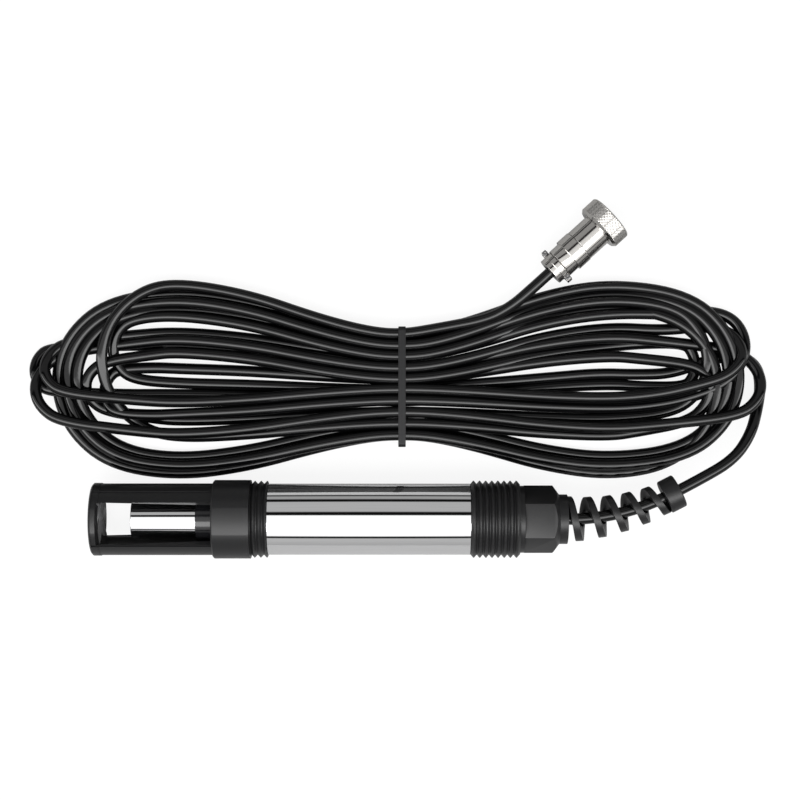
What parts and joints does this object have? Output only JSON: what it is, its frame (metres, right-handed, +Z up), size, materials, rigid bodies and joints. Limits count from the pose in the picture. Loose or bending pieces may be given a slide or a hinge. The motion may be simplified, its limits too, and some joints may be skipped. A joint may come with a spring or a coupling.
{
  "type": "optical dissolved oxygen sensor",
  "caption": "Cylindrical steel and plastic water probe with a slotted guard, threaded fittings, a spiral bend protector, and a tied cable hank with a screw-on plug.",
  "frame": {"origin": "on the probe's axis, in the middle of the rear process thread", "axes": "+X along the probe's axis towards its cable, +Y towards the cable hank lying beside it, +Z up from the floor that both lie on"},
  "size_m": [0.2604, 0.1251, 0.0272],
  "materials": {
    "black_moulding": "fine matte moulding",
    "head_plastic": "turned and polished",
    "polished_steel": "mirror polished",
    "film": "coated with dark silicone",
    "seal_rubber": "smooth",
    "window_glass": "clear",
    "filter_glass": "coloured",
    "lamp_resin": "clear resin",
    "green_laminate": "solder mask",
    "ribbon": "polyimide film",
    "chip_resin": "moulded",
    "can_metal": "drawn",
    "bead_resin": "dipped",
    "core_jacket": "extruded",
    "washer_steel": "stamped",
    "cable_jacket": "smooth, glossy",
    "tie_nylon": "nylon",
    "nickel": "satin nickel plate",
    "screw_steel": "plated",
    "contact_metal": "gold plated",
    "insert_resin": "moulded"
  },
  "bodies": {
    "probe": {"sensor_head": "head_plastic", "cap_seal": "seal_rubber", "optical_window": "window_glass", "optics_board": "green_laminate", "blue_lamp": "lamp_resin", "red_lamp": "lamp_resin", "light_receiver": "chip_resin", "colour_filter": "filter_glass", "temperature_bead": "bead_resin", "sensor_ribbon": "ribbon", "front_fitting": "black_moulding", "front_seal": "seal_rubber", "body_tube": "polished_steel", "rear_fitting": "black_moulding", "rear_seal": "seal_rubber", "circuit_board": "green_laminate", "board_chips": "chip_resin", "board_capacitors": "can_metal", "cable_cores": "core_jacket", "gland_nut": "black_moulding", "gland_seal": "seal_rubber", "gland_washer": "washer_steel", "cable_lead": "cable_jacket", "cable_tail": "cable_jacket", "cable_hank": "cable_jacket", "cable_tie": "tie_nylon", "plug_rear_shell": "nickel", "cable_clamp": "nickel", "clamp_screws": "screw_steel", "cable_grommet": "seal_rubber", "plug_front_shell": "nickel", "contact_pins": "contact_metal", "plug_cores": "core_jacket", "plug_insert": "insert_resin"},
    "guard": {"guard": "black_moulding"},
    "cap": {"sensing_cap": "polished_steel", "sensing_film": "film", "film_retainer": "black_moulding"},
    "nut": {"coupling_nut": "nickel"}
  },
  "joints": [
    {"name": "guard_slide", "type": "slide", "parent": "probe", "child": "guard", "axis": [-1, 0, 0], "range_m": [0, 0.055]},
    {"name": "cap_slide", "type": "slide", "parent": "probe", "child": "cap", "axis": [-1, 0, 0], "range_m": [0, 0.008]},
    {"name": "nut_turn", "type": "hinge", "parent": "probe", "child": "nut", "pos_m": [0.01962, 0.08597, -0.00495], "axis": [0.7396, 0.673, 0], "continuous": true}
  ]
}
